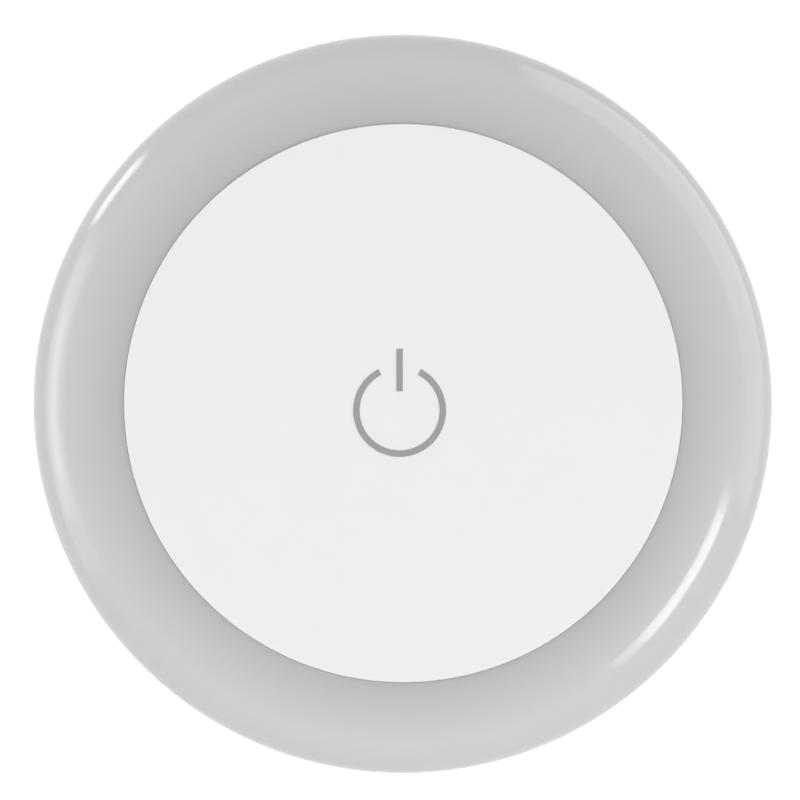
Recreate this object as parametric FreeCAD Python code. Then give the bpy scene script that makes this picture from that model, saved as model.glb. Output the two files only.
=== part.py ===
"""Plug-in night light: a round lamp body with a translucent ring round a large press disc,
carried on a two-pin mains plug.

Frame: the origin is the centre of the plug's engagement face, midway between the two pins.
+Y points into the wall socket, +X to the right of someone facing the lamp, and +Z up.
Every length is in millimetres. Places along the lamp's axis are Y values, so the front is at
the lowest Y.
"""

import FreeCAD
import Part

import math
import os

Vector = FreeCAD.Vector

# Outside of the lamp
LAMP_DIAMETER = 80.0
RING_WIDTH = 10.1
DISC_GAP = 0.1
DISC_PROUD = 0.3
SEAM_GAP = 0.4

# Translucent ring
RING_CROWN = 8.2
RING_SKIRT = 4.2
RING_WALL = 2.4
RING_EDGE_ROUND = 0.3
RING_BORE_DEPTH = 6.0
RING_BORE_WALL = 1.6
RING_LIP_WIDTH = 1.5
RING_LIP_THICKNESS = 1.2
TONGUE_LENGTH = 2.0
TONGUE_THICKNESS = 1.1

# Rear housing
HOUSING_DEPTH = 11.0
HOUSING_INSET = 0.2
HOUSING_WALL = 2.4
HOUSING_CORNER = 7.0
LABEL_WIDTH = 28.0
LABEL_HEIGHT = 12.0
LABEL_DROP = 19.0
LABEL_DEPTH = 0.3

# Plug block
PLUG_LENGTH = 17.0
PLUG_WIDTH = 35.3
PLUG_HEIGHT = 13.7
PLUG_FLAT_WIDTH = 26.1
PLUG_END_HEIGHT = 4.5
PLUG_SIDE_ROUND = 1.5
PLUG_FACE_ROUND = 0.8
PLUG_FLANGE_RIM = 1.5
PLUG_FLANGE_THICKNESS = 2.0
PIN_TOWER_DIAMETER = 7.2

# Pins and their insulating sleeves
PIN_SPACING_AT_FACE = 18.6
PIN_SPACING_AT_TIP = 17.5
PIN_LENGTH = 19.0
PIN_DIAMETER = 4.0
PIN_CORE_DIAMETER = 2.9
PIN_ANCHOR_DIAMETER = 4.8
PIN_ANCHOR_LENGTH = 1.5
PIN_ANCHOR_DEPTH = 8.0
PIN_TAIL_STANDOUT = 1.0
SLEEVE_LENGTH = 10.0
SLEEVE_ROOT = 2.0
SLEEVE_DIAMETER = 3.6
PIN_RECESS_DIAMETER = 5.2
PIN_RECESS_DEPTH = 0.5

# Press disc
DISC_THICKNESS = 1.6
DISC_EDGE_ROUND = 0.2
DISC_SKIRT_WALL = 1.2
DISC_TRAVEL = 1.2
STOP_PLAY = 0.1
RIB_COUNT = 6
RIB_THICKNESS = 1.0
RIB_HEIGHT = 1.2
RIB_MARGIN = 1.0
LEG_COUNT = 3
LEG_FIRST_ANGLE = 30.0
LEG_WIDTH = 5.0
LEG_THICKNESS = 1.6
LEG_SETBACK = 4.9
LEG_REACH = 2.2
HOOK_REACH = 1.0
HOOK_LENGTH = 1.0
HOOK_PLAY = 0.05

# Power symbol, let flush into the disc
SYMBOL_DEPTH = 0.3
SYMBOL_RING_DIAMETER = 9.25
SYMBOL_STROKE = 0.7
SYMBOL_OPENING_ANGLE = 54.0
SYMBOL_BAR_LENGTH = 4.56
SYMBOL_BAR_REACH = 6.6
SYMBOL_SHIFT_X = -0.4
SYMBOL_SHIFT_Z = -0.8

# Centre frame
FRAME_THICKNESS = 1.6
SPRING_WELL_DEPTH = 3.8
SPRING_WELL_WALL = 1.2
SPRING_WELL_FLOOR = 1.2
COLLAR_WALL = 0.9
COLLAR_HEIGHT = 2.0
LOCATOR_HEIGHT = 1.0

# Return spring
SPRING_WIRE = 0.6
SPRING_TURNS = 4
SPRING_PLAY = 0.5
SPRING_END_GAP = 0.1

# Circuit board and reflector
BOARD_THICKNESS = 1.6
BOARD_CLEARANCE = 1.1
COMPONENT_HEADROOM = 1.6
REFLECTOR_FLOOR = 0.8
REFLECTOR_WALL = 1.0
REFLECTOR_GAP = 0.3
EMITTER_COUNT = 8
EMITTER_WIDTH = 3.5
EMITTER_DEPTH = 2.8
EMITTER_HEIGHT = 0.8
EMITTER_LENS_DIAMETER = 2.1
EMITTER_LENS_RISE = 0.05

# Push switch
SWITCH_SIZE = 8.5
SWITCH_HEIGHT = 5.5
SWITCH_WALL = 0.8
SWITCH_CLEARANCE = 0.3
PLUNGER_SIZE = 3.2
PLUNGER_STANDOUT = 3.4
PLUNGER_FLANGE_SIZE = 4.6
PLUNGER_FLANGE_HEIGHT = 1.0
PLUNGER_PLAY = 0.1
DISC_BOSS_DIAMETER = 6.0
TERMINAL_PITCH_X = 5.0
TERMINAL_PITCH_Z = 2.5
TERMINAL_DIAMETER = 0.7
TERMINAL_STANDOUT = 1.0

# Parts on the back of the board
CAN_DIAMETER = 6.3
CAN_LENGTH = 11.0
CAN_GAP = 0.1
CAN_BEAD = 0.5
CAN_BEAD_SETBACK = 2.0
CAN_PLACE = (-14.0, 15.0)
CAN_LEAD_PITCH = 2.5
FILM_WIDTH = 13.0
FILM_HEIGHT = 9.0
FILM_THICKNESS = 5.5
FILM_ROUND = 0.8
FILM_PLACE = (0.0, -18.0)
FILM_LEAD_PITCH = 10.0
FUSE_DIAMETER = 2.4
FUSE_LENGTH = 6.3
FUSE_WAIST_DIAMETER = 2.0
FUSE_CAP_LENGTH = 1.6
FUSE_CAP_ROUND = 0.3
FUSE_PLACE = (14.0, 15.0)
FUSE_STANDOFF = 0.5
BRIDGE_LENGTH = 4.7
BRIDGE_WIDTH = 3.9
BRIDGE_HEIGHT = 2.5
BRIDGE_PITCH = 2.5
BRIDGE_FOOT_WIDTH = 0.6
BRIDGE_FOOT_REACH = 1.1
BRIDGE_FOOT_THICKNESS = 0.2
BRIDGE_PLACE = (-13.0, -22.0)
CHIP_LENGTH = 3.2
CHIP_WIDTH = 1.6
CHIP_HEIGHT = 0.6
CHIP_COUNT = 4
CHIP_PITCH = 3.0
CHIP_PLACE = (13.0, -17.0)
LEAD_DIAMETER = 0.6
LEAD_RUN = 0.6
LEAD_BEND = 0.8
LEAD_STANDOUT = 0.8
SOLDER_HEIGHT = 1.2
SOLDER_MARGIN = 0.8
SOLDER_NECK = 0.1

# Screws and the bosses that they clamp together
SCREW_COUNT = 3
SCREW_FIRST_ANGLE = 90.0
SCREW_DIAMETER = 2.6
SCREW_HEAD_DIAMETER = 5.0
SCREW_HEAD_HEIGHT = 2.0
SCREW_HEAD_ROUND = 0.8
SCREW_SEAT_DEPTH = 3.4
SCREW_GRIP = 5.4
SCREW_INSET = 0.5
SCREW_TIP = 0.9
CROSS_WIDTH = 0.7
CROSS_SPAN = 2.6
CROSS_DEPTH = 1.2
FRAME_BOSS_DIAMETER = 6.0
FRAME_BOSS_BLIND = 0.4
HOUSING_BOSS_WALL = 1.2

# How far a cutting shape reaches past the face that it opens
CUT_PAST = 1.0

# Clearances
FIT_GAP = 0.15
HEAD_GAP = 0.4
SHANK_GAP = 0.15
HOLE_GAP = 0.1

# Places along the axis, from the wall forward
housing_back_y = -PLUG_LENGTH
housing_floor_y = housing_back_y - HOUSING_WALL
housing_rim_y = housing_back_y - HOUSING_DEPTH
board_back_y = housing_floor_y - (CAN_DIAMETER + CAN_GAP + COMPONENT_HEADROOM)
board_front_y = board_back_y - BOARD_THICKNESS
ring_back_y = housing_rim_y - SEAM_GAP
ring_crown_y = ring_back_y - RING_SKIRT
ring_crest_y = ring_crown_y - RING_CROWN
tongue_end_y = ring_back_y + TONGUE_LENGTH
lip_front_y = ring_crest_y + RING_BORE_DEPTH
lip_back_y = lip_front_y + RING_LIP_THICKNESS
frame_back_y = lip_front_y
frame_front_y = frame_back_y - FRAME_THICKNESS
well_floor_y = frame_front_y + SPRING_WELL_DEPTH
well_back_y = well_floor_y + SPRING_WELL_FLOOR
disc_face_y = ring_crest_y - DISC_PROUD
disc_back_y = disc_face_y + DISC_THICKNESS
disc_skirt_y = frame_front_y - DISC_TRAVEL - STOP_PLAY
hook_catch_y = frame_back_y + HOOK_PLAY
leg_end_y = frame_back_y + LEG_REACH
switch_top_y = board_front_y - SWITCH_HEIGHT
plunger_top_y = switch_top_y - PLUNGER_STANDOUT
screw_seat_y = housing_back_y - SCREW_SEAT_DEPTH
screw_tip_y = board_front_y - SCREW_GRIP

# Radii
ring_radius = LAMP_DIAMETER / 2
bore_radius = ring_radius - RING_WIDTH
disc_radius = bore_radius - DISC_GAP
lip_radius = bore_radius - RING_LIP_WIDTH
bore_wall_radius = bore_radius + RING_BORE_WALL
crest_radius = bore_radius + RING_EDGE_ROUND
ring_inner_radius = ring_radius - RING_WALL
tongue_radius = ring_inner_radius + TONGUE_THICKNESS
housing_radius = ring_radius - HOUSING_INSET
housing_inner_radius = housing_radius - HOUSING_WALL
frame_radius = bore_radius - FIT_GAP
board_radius = min(ring_inner_radius, housing_inner_radius) - BOARD_CLEARANCE
emitter_circle = (bore_wall_radius + board_radius) / 2
switch_corner = SWITCH_SIZE / math.sqrt(2)
collar_inner = switch_corner + SWITCH_CLEARANCE
collar_outer = collar_inner + COLLAR_WALL
spring_radius = collar_outer + SPRING_PLAY + SPRING_WIRE / 2
well_inner = spring_radius + SPRING_WIRE / 2 + SPRING_PLAY
well_outer = well_inner + SPRING_WELL_WALL
leg_outer = lip_radius - LEG_SETBACK
leg_inner = leg_outer - LEG_THICKNESS
hook_radius = leg_outer + HOOK_REACH
screw_circle = lip_radius - FRAME_BOSS_DIAMETER / 2 - SCREW_INSET
screw_bore = SCREW_HEAD_DIAMETER / 2 + HEAD_GAP
housing_boss_radius = screw_bore + HOUSING_BOSS_WALL
pin_lean = math.degrees(math.atan((PIN_SPACING_AT_FACE - PIN_SPACING_AT_TIP) / 2 / PIN_LENGTH))

ORIGIN = Vector(0, 0, 0)
AXIS = Vector(0, 1, 0)


def outline(start, *steps):
    """A closed face in the plane of X and Y. A step is a point, reached by a straight line, or a
    pair of points (corner, end), reached by the quarter ellipse that rounds that corner."""
    edges = []
    here = Vector(start[0], start[1], 0)
    for step in steps + (start,):
        if isinstance(step[0], tuple):
            corner, end = (Vector(p[0], p[1], 0) for p in step)
            bend = Part.BezierCurve()
            bend.setPoles([here, corner, end])
            bend.setWeight(2, math.sqrt(0.5))
            edges.append(bend.toShape())
        else:
            end = Vector(step[0], step[1], 0)
            edges.append(Part.makeLine(here, end))
        here = end
    return Part.Face(Part.Wire(edges))


def turned(face):
    """The solid that an outline sweeps round the lamp's axis."""
    return face.revolve(ORIGIN, AXIS, 360)


def tube(outer, inner, y_from, y_to):
    """A round tube on the lamp's axis."""
    return turned(outline((inner, y_from), (outer, y_from), (outer, y_to), (inner, y_to)))


def rod(radius, y_from, y_to, x=0.0, z=0.0):
    """A round rod along Y through the point x, z."""
    return Part.makeCylinder(radius, y_to - y_from, Vector(x, y_from, z), AXIS)


def slab(width, height, y_from, y_to, x=0.0, z=0.0):
    """A block along Y, centred on x, z: width is along X and height along Z."""
    corner = Vector(x - width / 2, y_from, z - height / 2)
    return Part.makeBox(width, y_to - y_from, height, corner)


def joined(first, *others):
    """One solid made of several that touch or overlap."""
    return first.fuse(list(others)).removeSplitter() if others else first


def turned_to(shape, angle):
    """A copy of a shape made on +X, carried round the axis by an angle that grows towards +Z."""
    copy = shape.copy()
    copy.rotate(ORIGIN, AXIS, -angle)
    return copy


def angles(count, first=0.0):
    """Evenly spaced angles round the axis."""
    return [first + 360.0 * i / count for i in range(count)]


def all_round(shape, count, first=0.0):
    """Copies of a shape, evenly spaced round the axis."""
    return [turned_to(shape, angle) for angle in angles(count, first)]


def on_circle(radius, angle):
    """The x and z of a point on a circle round the axis."""
    return radius * math.cos(math.radians(angle)), radius * math.sin(math.radians(angle))


def screw_places():
    """The x and z of each housing screw."""
    return [on_circle(screw_circle, angle) for angle in angles(SCREW_COUNT, SCREW_FIRST_ANGLE)]


def plug_outline(extra, y_from, y_to):
    """The plug's six-sided section, grown by extra all round, as a prism along Y."""
    half_width = PLUG_WIDTH / 2 + extra
    half_height = PLUG_HEIGHT / 2 + extra
    half_flat = PLUG_FLAT_WIDTH / 2 + extra / 2
    half_end = PLUG_END_HEIGHT / 2 + extra / 2
    corners = [
        (half_flat, half_height),
        (half_width, half_end),
        (half_width, -half_end),
        (half_flat, -half_height),
        (-half_flat, -half_height),
        (-half_width, -half_end),
        (-half_width, half_end),
        (-half_flat, half_height),
    ]
    points = [Vector(x, y_from, z) for x, z in corners + corners[:1]]
    prism = Part.Face(Part.makePolygon(points)).extrude(Vector(0, y_to - y_from, 0))
    sides = [e for e in prism.Edges if abs(e.tangentAt(e.FirstParameter).y) > 0.99]
    return prism.makeFillet(PLUG_SIDE_ROUND, sides)


def on_pin_line(shape, side):
    """Leans a shape made along +Y inwards, and stands it where that side's pin leaves the plug."""
    placed = shape.copy()
    placed.rotate(ORIGIN, Vector(0, 0, 1), side * pin_lean)
    placed.translate(Vector(side * PIN_SPACING_AT_FACE / 2, 0, 0))
    return placed


def pin(side):
    """A solid pin: a bare rounded contact, a thinner core under the sleeve and through the plug,
    a collar that anchors it in the moulding, and a tail that is soldered into the board."""
    tip = PIN_DIAMETER / 2
    core = PIN_CORE_DIAMETER / 2
    tail_y = board_front_y - PIN_TAIL_STANDOUT
    shaft = turned(
        outline(
            (0, tail_y),
            (core, tail_y),
            (core, SLEEVE_LENGTH),
            (tip, SLEEVE_LENGTH),
            (tip, PIN_LENGTH - tip),
            ((tip, PIN_LENGTH), (0, PIN_LENGTH)),
        )
    )
    collar = rod(PIN_ANCHOR_DIAMETER / 2, -PIN_ANCHOR_DEPTH, PIN_ANCHOR_LENGTH - PIN_ANCHOR_DEPTH)
    return on_pin_line(joined(shaft, collar), side)


def pin_sleeve(side):
    """The insulating sleeve on the half of the pin next to the plug, rooted inside the plug."""
    sleeve = tube(SLEEVE_DIAMETER / 2, PIN_CORE_DIAMETER / 2, -SLEEVE_ROOT, SLEEVE_LENGTH)
    return on_pin_line(sleeve, side)


def plug_block():
    """The moulded plug: its six-sided nose enters the socket, its flange sits inside the housing,
    and two towers behind the flange hold the board off the floor round the pin tails. Each pin
    stands in a shallow round recess of the plug's face."""
    nose = plug_outline(0, housing_floor_y - PLUG_FLANGE_THICKNESS, 0)
    face_edges = [e for e in nose.Edges if all(abs(v.Point.y) < 1e-6 for v in e.Vertexes)]
    nose = nose.makeFillet(PLUG_FACE_ROUND, face_edges)
    flange = plug_outline(
        PLUG_FLANGE_RIM, housing_floor_y - PLUG_FLANGE_THICKNESS, housing_floor_y
    )
    block = joined(nose, flange)
    for side in (-1, 1):
        x = side * (PIN_SPACING_AT_FACE / 2 - board_back_y * math.tan(math.radians(pin_lean)))
        tower = rod(PIN_TOWER_DIAMETER / 2, board_back_y, housing_floor_y, x)
        block = joined(block, tower)
    for side in (-1, 1):
        x = side * PIN_SPACING_AT_FACE / 2
        recess = rod(PIN_RECESS_DIAMETER / 2, -PIN_RECESS_DEPTH, CUT_PAST, x)
        block = block.cut([pin(side), pin_sleeve(side), recess])
    return block


def rear_housing():
    """The white cup that closes the back of the lamp. Its rim takes the ring's tongue, and its
    screw bosses stand under the board."""
    corner = HOUSING_CORNER
    inner_corner = corner - HOUSING_WALL
    shell = turned(
        outline(
            (0, housing_back_y),
            (housing_radius - corner, housing_back_y),
            ((housing_radius, housing_back_y), (housing_radius, housing_back_y - corner)),
            (housing_radius, housing_rim_y),
            (0, housing_rim_y),
        )
    )
    hollow = turned(
        outline(
            (0, housing_floor_y),
            (housing_inner_radius - inner_corner, housing_floor_y),
            (
                (housing_inner_radius, housing_floor_y),
                (housing_inner_radius, housing_floor_y - inner_corner),
            ),
            (housing_inner_radius, housing_rim_y - CUT_PAST),
            (0, housing_rim_y - CUT_PAST),
        )
    )
    rebate = rod(tongue_radius + FIT_GAP, housing_rim_y - CUT_PAST, tongue_end_y)
    bosses = [
        rod(housing_boss_radius, board_back_y, housing_floor_y, x, z) for x, z in screw_places()
    ]
    housing = joined(shell.cut([hollow, rebate]), *bosses)
    past_back_y = housing_back_y + CUT_PAST
    label_y = housing_back_y - LABEL_DEPTH
    label = slab(LABEL_WIDTH, LABEL_HEIGHT, label_y, past_back_y, 0, -LABEL_DROP)
    holes = [label, plug_outline(FIT_GAP, housing_floor_y - CUT_PAST, past_back_y)]
    for x, z in screw_places():
        holes.append(rod(screw_bore, screw_seat_y, past_back_y, x, z))
        shank_hole = SCREW_DIAMETER / 2 + SHANK_GAP
        holes.append(rod(shank_hole, board_back_y - CUT_PAST, screw_seat_y, x, z))
    return housing.cut(holes)


def diffuser_ring():
    """The translucent ring: a domed shell with a bore for the press disc, a lip that the centre
    frame clamps, and a tongue that drops into the housing's rim."""
    outside = turned(
        outline(
            (lip_radius, lip_back_y),
            (lip_radius, lip_front_y),
            (bore_radius, lip_front_y),
            (bore_radius, ring_crest_y + RING_EDGE_ROUND),
            ((bore_radius, ring_crest_y), (crest_radius, ring_crest_y)),
            ((ring_radius, ring_crest_y), (ring_radius, ring_crown_y)),
            (ring_radius, ring_back_y),
            (tongue_radius, ring_back_y),
            (tongue_radius, tongue_end_y),
            (ring_inner_radius, tongue_end_y),
            (ring_inner_radius, lip_back_y),
        )
    )
    cavity = turned(
        outline(
            (crest_radius, ring_crest_y + RING_WALL),
            (
                (ring_inner_radius, ring_crest_y + RING_WALL),
                (ring_inner_radius, ring_crown_y),
            ),
            (ring_inner_radius, tongue_end_y + CUT_PAST),
            (crest_radius, tongue_end_y + CUT_PAST),
        )
    )
    bore_wall = rod(bore_wall_radius, ring_crest_y, tongue_end_y + CUT_PAST)
    return outside.cut(cavity.cut(bore_wall))


def symbol_face():
    """The power symbol's ring and bar as flat faces in the plane of X and Z, at the origin."""
    middle = SYMBOL_RING_DIAMETER / 2
    outer = middle + SYMBOL_STROKE / 2
    inner = middle - SYMBOL_STROKE / 2
    half_opening = math.radians(SYMBOL_OPENING_ANGLE / 2)

    def on_ring(radius, angle):
        return Vector(radius * math.sin(angle), 0, radius * math.cos(angle))

    edges = [
        Part.Arc(
            on_ring(outer, half_opening), on_ring(outer, math.pi), on_ring(outer, -half_opening)
        ).toShape(),
        Part.makeLine(on_ring(outer, -half_opening), on_ring(inner, -half_opening)),
        Part.Arc(
            on_ring(inner, -half_opening), on_ring(inner, math.pi), on_ring(inner, half_opening)
        ).toShape(),
        Part.makeLine(on_ring(inner, half_opening), on_ring(outer, half_opening)),
    ]
    half = SYMBOL_STROKE / 2
    top = SYMBOL_BAR_REACH
    foot = top - SYMBOL_BAR_LENGTH
    bar = [(-half, foot), (half, foot), (half, top), (-half, top), (-half, foot)]
    bar_outline = Part.makePolygon([Vector(x, 0, z) for x, z in bar])
    return [Part.Face(Part.Wire(edges)), Part.Face(bar_outline)]


def power_symbol():
    """The grey symbol: an open ring and a bar, each a thin solid that fills its pocket."""
    pieces = []
    for face in symbol_face():
        face.translate(Vector(SYMBOL_SHIFT_X, disc_face_y, SYMBOL_SHIFT_Z))
        pieces.append(face.extrude(Vector(0, SYMBOL_DEPTH, 0)))
    return pieces


def press_disc():
    """The white disc that is pressed to switch the lamp. Under it are a skirt that stops on the
    centre frame, ribs, a boss over the switch, a spring locator and three hooked guide legs."""
    edge = DISC_EDGE_ROUND
    cap = turned(
        outline(
            (0, disc_face_y),
            (disc_radius - edge, disc_face_y),
            ((disc_radius, disc_face_y), (disc_radius, disc_face_y + edge)),
            (disc_radius, disc_skirt_y),
            (disc_radius - DISC_SKIRT_WALL, disc_skirt_y),
            (disc_radius - DISC_SKIRT_WALL, disc_back_y),
            (0, disc_back_y),
        )
    )
    boss = rod(DISC_BOSS_DIAMETER / 2, disc_back_y, plunger_top_y - PLUNGER_PLAY)
    locator = tube(collar_outer, collar_inner, disc_back_y, disc_back_y + LOCATOR_HEIGHT)
    rib_from = well_outer + RIB_MARGIN
    rib_to = disc_radius - DISC_SKIRT_WALL
    rib = slab(
        rib_to - rib_from,
        RIB_THICKNESS,
        disc_back_y,
        disc_back_y + RIB_HEIGHT,
        (rib_from + rib_to) / 2,
    )
    leg = guide_leg()
    under = [boss, locator, *all_round(rib, RIB_COUNT), *all_round(leg, LEG_COUNT, LEG_FIRST_ANGLE)]
    return joined(cap, *under).cut(power_symbol())


def guide_leg():
    """One leg on +X, with a hook that catches behind the centre frame."""
    profile = outline(
        (leg_inner, disc_back_y),
        (leg_outer, disc_back_y),
        (leg_outer, hook_catch_y),
        (hook_radius, hook_catch_y),
        (hook_radius, hook_catch_y + HOOK_LENGTH),
        (leg_outer, leg_end_y),
        (leg_inner, leg_end_y),
    )
    profile.translate(Vector(0, 0, -LEG_WIDTH / 2))
    return profile.extrude(Vector(0, 0, LEG_WIDTH))


def centre_frame():
    """The white plate behind the disc. Its edge clamps the ring's lip, its bosses take the
    housing screws, and its centre holds the return spring round the switch."""
    plate = tube(frame_radius, well_inner, frame_front_y, frame_back_y)
    well_wall = tube(well_outer, well_inner, frame_front_y, well_back_y)
    well_floor = tube(well_outer, collar_inner, well_floor_y, well_back_y)
    collar = tube(collar_outer, collar_inner, well_floor_y - COLLAR_HEIGHT, well_back_y)
    bosses = [
        rod(FRAME_BOSS_DIAMETER / 2, frame_back_y, board_front_y, x, z) for x, z in screw_places()
    ]
    frame = joined(plate, well_wall, well_floor, collar, *bosses)
    window = slab(
        LEG_THICKNESS + 2 * FIT_GAP,
        LEG_WIDTH + 2 * FIT_GAP,
        frame_front_y - CUT_PAST,
        frame_back_y + CUT_PAST,
        (leg_inner + leg_outer) / 2,
    )
    holes = all_round(window, LEG_COUNT, LEG_FIRST_ANGLE)
    pilot_end_y = screw_tip_y - FRAME_BOSS_BLIND
    for x, z in screw_places():
        holes.append(rod(SCREW_DIAMETER / 2, pilot_end_y, board_front_y + CUT_PAST, x, z))
    return frame.cut(holes)


def arc_within(start, corner, end):
    """The circular arc from start to end that touches both sides of the corner between them."""
    weight = (end - start).Length / 2 / (corner - start).Length
    middle = ((start + end) * 0.5 + corner * weight) * (1 / (1 + weight))
    return Part.Arc(start, middle, end).toShape()


def biarc(start, leaving, end, arriving):
    """Two arcs, smooth where they meet, from one point and heading to another."""
    chord = end - start
    turning = leaving + arriving
    square = turning.dot(turning) - 4
    linear = -2 * chord.dot(turning)
    root = math.sqrt(linear * linear - 4 * square * chord.dot(chord))
    reach = (-linear - root) / (2 * square)
    first = start + leaving * reach
    last = end - arriving * reach
    middle = (first + last) * 0.5
    return [arc_within(start, first, middle), arc_within(middle, last, end)]


def return_spring():
    """A helical wire spring between the well's floor and the disc, on two biarcs a turn."""
    foot_y = well_floor_y - SPRING_WIRE / 2 - SPRING_END_GAP
    head_y = disc_back_y + SPRING_WIRE / 2 + SPRING_END_GAP
    pitch = (foot_y - head_y) / SPRING_TURNS

    def on_coil(half_turns):
        x, z = on_circle(spring_radius, 180.0 * half_turns)
        return Vector(x, foot_y - pitch * half_turns / 2, z)

    def heading(half_turns):
        x, z = on_circle(1, 180.0 * half_turns + 90)
        return Vector(x, -pitch / (2 * math.pi * spring_radius), z).normalize()

    edges = []
    for i in range(2 * SPRING_TURNS):
        edges += biarc(on_coil(i), heading(i), on_coil(i + 1), heading(i + 1))
    section = Part.Wire(Part.makeCircle(SPRING_WIRE / 2, on_coil(0), heading(0)))
    print("return spring: least gap between turns", round(pitch - SPRING_WIRE, 2))
    return Part.Wire(edges).makePipeShell([section], True, False)


def terminal_places():
    """The x and z of the push switch's six terminals."""
    return [
        (column * TERMINAL_PITCH_X / 2, row * TERMINAL_PITCH_Z)
        for column in (-1, 1)
        for row in (-1, 0, 1)
    ]


def switch_terminals():
    """The switch's terminals, from its base through the board."""
    end_y = board_back_y + TERMINAL_STANDOUT
    return [rod(TERMINAL_DIAMETER / 2, board_front_y, end_y, x, z) for x, z in terminal_places()]


def switch_body():
    """The push switch's square case, hollow for the plunger and its flange."""
    room = PLUNGER_FLANGE_SIZE + 2 * HOLE_GAP
    opening = PLUNGER_SIZE + 2 * HOLE_GAP
    case = slab(SWITCH_SIZE, SWITCH_SIZE, switch_top_y, board_front_y)
    chamber = slab(room, room, switch_top_y + SWITCH_WALL, board_front_y - SWITCH_WALL)
    mouth = slab(opening, opening, switch_top_y - CUT_PAST, switch_top_y + SWITCH_WALL + CUT_PAST)
    return case.cut([chamber, mouth])


def switch_plunger():
    """The square plunger that the disc pushes, kept in the switch by its flange."""
    flange_y = switch_top_y + SWITCH_WALL + HOOK_PLAY
    stem = slab(PLUNGER_SIZE, PLUNGER_SIZE, plunger_top_y, flange_y + PLUNGER_FLANGE_HEIGHT)
    flange = slab(
        PLUNGER_FLANGE_SIZE, PLUNGER_FLANGE_SIZE, flange_y, flange_y + PLUNGER_FLANGE_HEIGHT
    )
    return joined(stem, flange)


def light_emitters():
    """The flat light-emitting diodes on the front of the board, under the ring."""
    body_from = board_front_y - EMITTER_HEIGHT
    emitter = slab(EMITTER_DEPTH, EMITTER_WIDTH, body_from, board_front_y, emitter_circle)
    lens = rod(EMITTER_LENS_DIAMETER / 2, body_from - EMITTER_LENS_RISE, body_from, emitter_circle)
    return all_round(joined(emitter, lens), EMITTER_COUNT, 180.0 / EMITTER_COUNT)


def reflector_ring():
    """The white tray round the emitters, with a wall that keeps light out of the centre."""
    inner = bore_wall_radius - REFLECTOR_WALL
    floor_y = board_front_y - REFLECTOR_FLOOR
    tray = joined(
        tube(board_radius, inner, floor_y, board_front_y),
        tube(bore_wall_radius, inner, lip_back_y + REFLECTOR_GAP, board_front_y),
    )
    window = slab(
        EMITTER_DEPTH + 2 * FIT_GAP,
        EMITTER_WIDTH + 2 * FIT_GAP,
        floor_y - CUT_PAST,
        board_front_y + CUT_PAST,
        emitter_circle,
    )
    return tray.cut(all_round(window, EMITTER_COUNT, 180.0 / EMITTER_COUNT))


def lead_starts():
    """Where each wire lead leaves its part, as (x, y, z, run along x, run along z)."""
    can_x, can_z = CAN_PLACE
    film_x, film_z = FILM_PLACE
    fuse_x, fuse_z = FUSE_PLACE
    can_y = board_back_y + CAN_GAP + CAN_DIAMETER / 2
    film_y = board_back_y + FILM_THICKNESS / 2
    fuse_y = board_back_y + FUSE_STANDOFF + FUSE_DIAMETER / 2
    starts = []
    for side in (-1, 1):
        starts.append((can_x + CAN_LENGTH / 2, can_y, can_z + side * CAN_LEAD_PITCH / 2, 1, 0))
        starts.append((film_x + side * FILM_LEAD_PITCH / 2, film_y, film_z - FILM_HEIGHT / 2, 0, -1))
        starts.append((fuse_x + side * FUSE_LENGTH / 2, fuse_y, fuse_z, side, 0))
    return starts


def lead_holes():
    """The x and z where each lead passes through the board."""
    reach = LEAD_RUN + LEAD_BEND
    return [(x + dx * reach, z + dz * reach) for x, y, z, dx, dz in lead_starts()]


def component_leads():
    """The tinned wire leads: a short run out of the part, a bend, and a leg through the board."""
    leads = []
    for x, y, z, dx, dz in lead_starts():
        out = Vector(dx, 0, dz)
        down = Vector(0, -1, 0)
        start = Vector(x, y, z)
        bend_from = start + out * LEAD_RUN
        middle = bend_from + out * (LEAD_BEND * math.sin(math.pi / 4))
        middle += down * (LEAD_BEND * (1 - math.cos(math.pi / 4)))
        bend_to = bend_from + out * LEAD_BEND + down * LEAD_BEND
        end = Vector(bend_to.x, board_front_y - LEAD_STANDOUT, bend_to.z)
        path = Part.Wire(
            [
                Part.makeLine(start, bend_from),
                Part.Arc(bend_from, middle, bend_to).toShape(),
                Part.makeLine(bend_to, end),
            ]
        )
        section = Part.Wire(Part.makeCircle(LEAD_DIAMETER / 2, start, out))
        leads.append(path.makePipeShell([section], True, False))
    return leads


def main_board():
    """The round circuit board, clamped between the housing's bosses and the centre frame's."""
    board = rod(board_radius, board_front_y, board_back_y)
    low_y = board_front_y - CUT_PAST
    high_y = board_back_y + CUT_PAST
    holes = [
        rod(SCREW_DIAMETER / 2 + SHANK_GAP, low_y, high_y, x, z) for x, z in screw_places()
    ]
    holes += [
        rod(TERMINAL_DIAMETER / 2 + HOLE_GAP, low_y, high_y, x, z) for x, z in terminal_places()
    ]
    holes += [rod(LEAD_DIAMETER / 2 + HOLE_GAP, low_y, high_y, x, z) for x, z in lead_holes()]
    for side in (-1, 1):
        holes.append(on_pin_line(rod(PIN_CORE_DIAMETER / 2 + FIT_GAP, low_y, high_y), side))
    return board.cut(holes)


def solder_joints():
    """Solder cones where the pin tails and the leads come through the front of the board."""
    cones = []
    for side in (-1, 1):
        radius = PIN_CORE_DIAMETER / 2
        cone = Part.makeCone(
            radius + SOLDER_NECK,
            radius + SOLDER_MARGIN,
            SOLDER_HEIGHT,
            Vector(0, board_front_y - SOLDER_HEIGHT, 0),
            AXIS,
        )
        x = side * (PIN_SPACING_AT_FACE / 2 - board_front_y * math.tan(math.radians(pin_lean)))
        cone.translate(Vector(x, 0, 0))
        cones.append(cone.cut(pin(side)))
    return cones


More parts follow.
